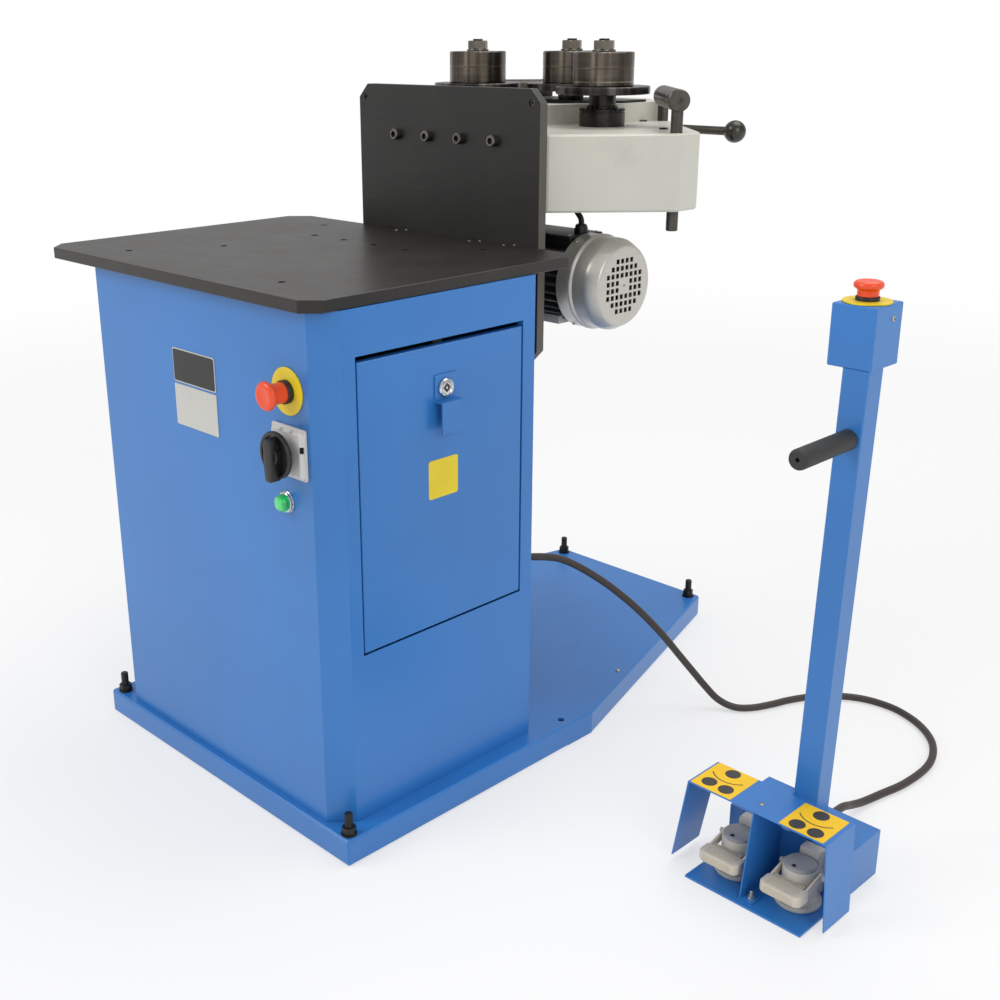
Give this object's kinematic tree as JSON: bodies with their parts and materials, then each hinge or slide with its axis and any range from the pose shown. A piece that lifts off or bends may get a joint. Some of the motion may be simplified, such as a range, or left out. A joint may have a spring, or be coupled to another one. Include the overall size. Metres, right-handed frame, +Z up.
{
  "type": "ring roller",
  "caption": "Floor-standing ring and section roller with a blue cabinet, upright roll head, finned motor and a pedal station on a cord.",
  "frame": {"origin": "on the floor, on the machine's centre plane, under the front face of the mounting plate", "axes": "+X to the operator's right along the control face, +Y from the operator towards the roll head, +Z up"},
  "size_m": [1.232, 1.066, 1.092],
  "materials": {
    "blue_paint": "satin blue powder coat",
    "black_steel": "blackened mill finish",
    "grey_paint": "light grey enamel",
    "turned_steel": "turned and lightly browned",
    "dark_steel": "blackened",
    "bright_steel": "plated",
    "silver_paint": "silver lacquer",
    "black_plastic": "fine grained",
    "red_plastic": "moulded",
    "yellow_plastic": "moulded",
    "green_lens": "clear lens",
    "pale_plastic": "moulded",
    "beige_plastic": "moulded",
    "black_rubber": "matt",
    "chrome": "polished"
  },
  "bodies": {
    "machine": {"base_tray": "blue_paint", "cabinet_gland": "black_plastic", "cabinet_shell": "blue_paint", "control_panel": "bright_steel", "fan_cowl": "silver_paint", "gearbox": "grey_paint", "head_housing": "grey_paint", "isolator_plate": "pale_plastic", "left_bearing_housing": "dark_steel", "left_foot_switch": "pale_plastic", "levelling_foot_back_left": "bright_steel", "levelling_foot_back_right": "bright_steel", "levelling_foot_front_left": "bright_steel", "levelling_foot_front_right": "bright_steel", "motor_cable": "black_rubber", "motor_stator": "dark_steel", "mounting_plate": "black_steel", "pedal_cord": "black_rubber", "pedal_guard": "blue_paint", "pilot_lamp": "green_lens", "right_bearing_housing": "dark_steel", "right_foot_switch": "pale_plastic", "station_base": "blue_paint", "station_gland": "black_plastic", "station_grip": "black_rubber", "station_post": "blue_paint", "station_stop_base": "yellow_plastic", "station_switch_box": "blue_paint", "stop_switch_base": "yellow_plastic", "table_top": "black_steel", "terminal_box": "black_plastic"},
    "door": {"cabinet_door": "blue_paint"},
    "door_lock": {"door_lock": "chrome"},
    "isolator_knob": {"isolator_knob": "black_plastic"},
    "stop_button": {"stop_button": "red_plastic"},
    "station_stop_button": {"station_stop_button": "red_plastic"},
    "left_treadle": {"left_treadle": "beige_plastic"},
    "right_treadle": {"right_treadle": "beige_plastic"},
    "motor_fan": {"motor_fan": "black_plastic"},
    "left_roll_set": {"left_roll_shaft": "dark_steel", "left_flange_disc": "turned_steel", "left_roll": "turned_steel", "left_roll_nut": "turned_steel"},
    "right_roll_set": {"right_roll_shaft": "dark_steel", "right_flange_disc": "turned_steel", "right_roll": "turned_steel", "right_roll_nut": "turned_steel"},
    "pressure_roll_set": {"pressure_roll_shaft": "dark_steel", "pressure_flange_disc": "turned_steel", "pressure_roll": "turned_steel", "pressure_roll_nut": "turned_steel"},
    "pressure_slide": {"pressure_slide": "dark_steel", "slide_cover": "black_steel"},
    "pressure_screw": {"pressure_screw": "turned_steel", "pressure_lever": "turned_steel"},
    "right_guide": {"right_guide_pin": "turned_steel"},
    "right_guide_roller": {"right_guide_roller": "turned_steel"},
    "plain_guide": {"plain_guide_pin": "turned_steel"},
    "left_guide": {"left_guide_pin": "turned_steel"},
    "left_guide_roller": {"left_guide_roller": "turned_steel"}
  },
  "joints": [
    {"name": "door_swing", "type": "hinge", "parent": "machine", "child": "door", "pos_m": [0.2757, -0.27775, 0.308], "axis": [0, 1, 0], "range_deg": [0, 90]},
    {"name": "lock_turn", "type": "hinge", "parent": "door", "child": "door_lock", "pos_m": [0.2857, -0.2784, 0.647], "axis": [1, 0, 0], "range_deg": [0, 90]},
    {"name": "isolator_turn", "type": "hinge", "parent": "machine", "child": "isolator_knob", "pos_m": [0.2138, -0.487, 0.5865], "axis": [0, -1, 0], "range_deg": [0, 90]},
    {"name": "stop_button_press", "type": "slide", "parent": "machine", "child": "stop_button", "axis": [0, 1, 0], "range_m": [0, 0.004]},
    {"name": "station_stop_press", "type": "slide", "parent": "machine", "child": "station_stop_button", "axis": [0, 0, -1], "range_m": [0, 0.004]},
    {"name": "left_treadle_press", "type": "hinge", "parent": "machine", "child": "left_treadle", "pos_m": [0.6985, -0.112, 0.048], "axis": [1, 0, 0], "range_deg": [0, 8], "stiffness_Nm_per_rad": 0.8, "springref_deg": -14.32},
    {"name": "right_treadle_press", "type": "hinge", "parent": "machine", "child": "right_treadle", "pos_m": [0.7945, -0.112, 0.048], "axis": [1, 0, 0], "range_deg": [0, 8], "stiffness_Nm_per_rad": 0.8, "springref_deg": -14.32},
    {"name": "fan_spin", "type": "hinge", "parent": "machine", "child": "motor_fan", "pos_m": [0.205, 0.133, 0.728], "axis": [1, 0, 0], "continuous": true},
    {"name": "left_roll_spin", "type": "hinge", "parent": "machine", "child": "left_roll_set", "pos_m": [-0.14, 0.217, 1.0085], "axis": [0, 0, 1], "continuous": true},
    {"name": "right_roll_spin", "type": "hinge", "parent": "machine", "child": "right_roll_set", "pos_m": [0.14, 0.217, 1.0085], "axis": [0, 0, 1], "continuous": true},
    {"name": "screw_turn", "type": "hinge", "parent": "pressure_slide", "child": "pressure_screw", "pos_m": [0, 0.5135, 0.937], "axis": [0, 1, 0], "range_deg": [-1080, 2160]},
    {"name": "slide_travel", "type": "slide", "parent": "machine", "child": "pressure_slide", "axis": [0, 1, 0], "range_m": [-0.018, 0.036]},
    {"name": "pressure_roll_spin", "type": "hinge", "parent": "pressure_slide", "child": "pressure_roll_set", "pos_m": [0, 0.302, 1.0085], "axis": [0, 0, 1], "continuous": true},
    {"name": "right_guide_lift", "type": "slide", "parent": "machine", "child": "right_guide", "axis": [0, 0, 1], "range_m": [-0.025, 0.03]},
    {"name": "plain_guide_lift", "type": "slide", "parent": "machine", "child": "plain_guide", "axis": [0, 0, 1], "range_m": [-0.04, 0.04]},
    {"name": "left_guide_lift", "type": "slide", "parent": "machine", "child": "left_guide", "axis": [0, 0, 1], "range_m": [0, 0.04]},
    {"name": "right_guide_spin", "type": "hinge", "parent": "right_guide", "child": "right_guide_roller", "pos_m": [0.3235, 0.168, 1.0055], "axis": [-0.7071, 0.7071, 0], "continuous": true},
    {"name": "left_guide_spin", "type": "hinge", "parent": "left_guide", "child": "left_guide_roller", "pos_m": [-0.1345, 0.385, 1.0055], "axis": [-0.7071, -0.7071, 0], "continuous": true}
  ],
  "couplings": [
    {"joint": "left_roll_spin", "follows": "fan_spin", "ratio": 0.0071429},
    {"joint": "right_roll_spin", "follows": "fan_spin", "ratio": 0.0071429},
    {"joint": "slide_travel", "follows": "screw_turn", "m_per_rad": 0.00095493}
  ]
}
